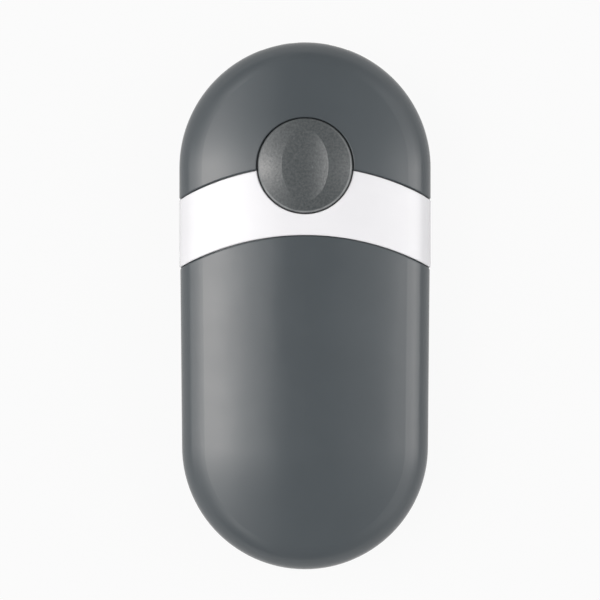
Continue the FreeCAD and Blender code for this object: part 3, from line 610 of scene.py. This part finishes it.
def settle(pad, look, before):
    # the swelling is scaled to the room it has, the underside stays flat on the tray, all goes to its place
    moves = [vert.co - start for vert, start in zip(pad.data.vertices, before)]
    furthest = max(move.length for move in moves)
    share = min(1.0, look["room"] * look["simulatedAt"] * millimetre / furthest) if furthest else 0.0
    halfway = (look["low"] + look["high"]) / 2
    place = Vector((*look["middle"], halfway)) * millimetre
    for vert, start, move in zip(pad.data.vertices, before, moves):
        vert.co = (start + move * share) / look["simulatedAt"] + place
        vert.co.z = max(vert.co.z, look["low"] * millimetre)


def soakedWeave(name, look):
    # woven nylon soaked in stamp ink: threads over and under, wet and dark, with drier patches
    finish, tree, shader, coords = startFinish(name, {
        "IOR": 1.45, "Sheen Weight": 0.15, "Sheen Roughness": 0.5})
    # the real threads are near 0.2 mm apart, drawn at 0.5 mm so that they show
    spacing = look["threadSpacing"] * millimetre
    squares = addNode(tree, "ShaderNodeTexChecker", {}, {"Vector": coords, "Scale": 1 / spacing})
    parts = addNode(tree, "ShaderNodeSeparateXYZ", {}, {0: coords}).outputs
    threads = []
    for axis in ("X", "Y"):
        turn = addNode(tree, "ShaderNodeMath", {"operation": "MULTIPLY"},
                       {0: parts[axis], 1: math.pi / spacing})
        wave = addNode(tree, "ShaderNodeMath", {"operation": "SINE"}, {0: turn.outputs[0]})
        thread = addNode(tree, "ShaderNodeMath", {"operation": "ABSOLUTE"}, {0: wave.outputs[0]})
        threads.append(thread.outputs[0])
    weave = addNode(tree, "ShaderNodeMix", {}, {
        0: squares.outputs["Fac"], 2: threads[0], 3: threads[1]}).outputs[0]
    soaked = cloudyColour(tree, coords, look, look["patchSize"], detail=5.0, seed=3.0)
    patches = drift(tree, coords, look["dryPatch"], high=look["dryMost"], detail=5.0, seed=7.0)
    colour = coverPatchily(tree, soaked, look["dry"], weave, patches)[0]
    roughness = drift(tree, coords, look["smearSize"], look["smooth"], look["dull"], detail=4.0, seed=5.0)
    woven = addNode(tree, "ShaderNodeBump", {}, {
        "Height": weave, "Distance": look["threadDepth"] * millimetre})
    feed(tree, shader, colour, roughness, woven.outputs["Normal"])
    return finish


inkPadCover = sewPad(padLook)
inkPadCover.data.materials.append(soakedWeave("woven_nylon_ink_soaked", padLook))
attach(inkPadCover, "base")
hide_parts("ink_pad")
print("ink pad sewn,", len(inkPadCover.data.polygons), "faces")


foamLook = {
    "middle": padLook["middle"],
    "radius": 19.95, "low": 11.65, "high": 13.15,
    "waist": 0.22,                # how far the side pulls in where it is squeezed
    "stepsUp": 8, "stepsAround": 360, "weldWithin": 0.0001,
    "cellSize": 0.35, "cellDepth": 0.05, "cellWall": 0.18,
    "colour": "#7F8182", "paler": "#8E9091",
    "smooth": 0.75, "dull": 0.9, "smearSize": 2.0,
}


def cutFoam(look):
    # a punched disc of foam, squeezed between the carrier and the rubber so that its side pulls in
    shape = bmesh.new()
    height = look["high"] - look["low"]
    corners = [(0.0, 0.0)]
    for step in range(look["stepsUp"] + 1):
        rise = step / look["stepsUp"]
        corners.append((look["radius"] - look["waist"] * math.sin(math.pi * rise), rise * height))
    corners.append((0.0, height))
    verts = [shape.verts.new((x * millimetre, 0.0, (look["low"] + z) * millimetre)) for x, z in corners]
    outline = [shape.edges.new(pair) for pair in zip(verts, verts[1:])]
    bmesh.ops.spin(shape, geom=verts + outline, cent=(0.0, 0.0, 0.0), axis=(0.0, 0.0, 1.0),
                   angle=2 * math.pi, steps=look["stepsAround"], use_merge=True)
    bmesh.ops.remove_doubles(shape, verts=shape.verts, dist=look["weldWithin"] * millimetre)
    bmesh.ops.recalc_face_normals(shape, faces=shape.faces)
    place = Vector((*look["middle"], 0.0)) * millimetre
    bmesh.ops.translate(shape, vec=place, verts=shape.verts)
    foam = addPiece("dieFoamLayer", shape)
    shadeSmooth(foam)
    return foam


def closedCellFoam(name, look):
    # grey polyethylene foam cut by a punch: a dry skin of small cut cells, paler on their walls
    finish, tree, shader, coords = startFinish(name, {"IOR": 1.49})
    cells = addNode(tree, "ShaderNodeTexVoronoi", {"feature": "DISTANCE_TO_EDGE"},
                    {"Vector": coords, "Scale": 1 / (look["cellSize"] * millimetre)}).outputs["Distance"]
    walls = addNode(tree, "ShaderNodeMapRange", {}, {
        "Value": cells, "From Max": look["cellWall"], "To Min": 1.0, "To Max": 0.0}).outputs["Result"]
    colour = addNode(tree, "ShaderNodeMix", {"data_type": "RGBA"},
                     {0: walls, 6: toLinear(look["colour"]), 7: toLinear(look["paler"])})
    roughness = drift(tree, coords, look["smearSize"], look["smooth"], look["dull"], detail=3.0, seed=2.0)
    cut = addNode(tree, "ShaderNodeBump", {}, {"Height": walls, "Distance": look["cellDepth"] * millimetre})
    feed(tree, shader, colour.outputs[2], roughness, cut.outputs["Normal"])
    return finish


dieFoamLayer = cutFoam(foamLook)
dieFoamLayer.data.materials.append(closedCellFoam("cut_polyethylene_foam", foamLook))
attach(dieFoamLayer, "cover")
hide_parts("die_foam")
print("foam layer cut")


# The two wound springs, which stand in for their CAD nodes

hingeSpringLook = {
    "centre": (-1.75, 49.2, 11.55), "axis": (1.0, 0.0, 0.0), "across": (0.0, 0.0, -1.0),
    "radius": 1.5, "wire": 0.5,
    "stages": ((3.5, 1.0),),      # turns and pitch
    "firstLeg": 7.0, "lastLeg": 4.5,
    "stepsPerTurn": 40, "sides": 16,
}

latchSpringLook = {
    "centre": (0.0, 34.83, 14.15), "axis": (0.0, 1.0, 0.0), "across": (0.0, 0.0, 1.0),
    "radius": 1.0, "wire": 0.45,
    "stages": ((1.0, 0.47), (3.0, 1.83), (1.0, 0.47)),      # its end turns are closed
    "firstLeg": 0.0, "lastLeg": 0.0,
    "stepsPerTurn": 40, "sides": 16,
    "fixedEnd": (0.0, 41.5, 14.15), "squeezedTo": 0.71,
}


def windSpring(name, look):
    # round wire wound about the axis stage by stage, with straight legs at its ends
    axis = Vector(look["axis"])
    across = Vector(look["across"])
    centre = Vector(look["centre"]) * millimetre
    sideways = axis.cross(across)
    firstPitch = look["stages"][0][1]
    way = (axis * firstPitch / (2 * math.pi) + sideways * look["radius"]).normalized()
    start = Matrix.Translation(centre + across * look["radius"] * millimetre)
    section = start @ way.to_track_quat("Z", "X").to_matrix().to_4x4()
    shape = bmesh.new()
    bmesh.ops.create_circle(shape, radius=look["wire"] / 2 * millimetre, segments=look["sides"],
                            matrix=section)
    firstRing = shape.edges[:]
    ring = shape.verts[:] + firstRing
    turned = 0.0
    for turns, pitch in look["stages"]:
        step = axis * pitch / look["stepsPerTurn"] * millimetre
        spun = bmesh.ops.spin(shape, geom=ring, cent=centre, axis=axis, dvec=step, angle=turns * 2 * math.pi,
                              steps=int(turns * look["stepsPerTurn"]), use_merge=False)
        ring = spun["geom_last"]
        turned += turns * 2 * math.pi
    lastRing = [part for part in ring if isinstance(part, bmesh.types.BMEdge)]
    lastWay = Matrix.Rotation(turned, 3, axis) @ way
    for edges, reach in ((firstRing, -way * look["firstLeg"]), (lastRing, lastWay * look["lastLeg"])):
        if reach.length > 0:
            leg = bmesh.ops.extrude_edge_only(shape, edges=edges)["geom"]
            bmesh.ops.translate(shape, vec=reach * millimetre,
                                verts=[part for part in leg if isinstance(part, bmesh.types.BMVert)])
    bmesh.ops.holes_fill(shape, edges=[edge for edge in shape.edges if edge.is_boundary], sides=0)
    bmesh.ops.recalc_face_normals(shape, faces=shape.faces)
    spring = addPiece(name, shape)
    shadeSmooth(spring)
    return spring


wireFinish = workedSteel("drawn_spring_wire", springWire)
hingeSpringCoil = windSpring("hingeSpringCoil", hingeSpringLook)
hingeSpringCoil.data.materials.append(wireFinish)
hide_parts("hinge_spring")
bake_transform(hingeSpringCoil)

latchSpringCoil = windSpring("latchSpringCoil", latchSpringLook)
latchSpringCoil.data.materials.append(wireFinish)
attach(latchSpringCoil, "cover")
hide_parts("latch_spring")
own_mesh(latchSpringCoil)
print("springs wound")
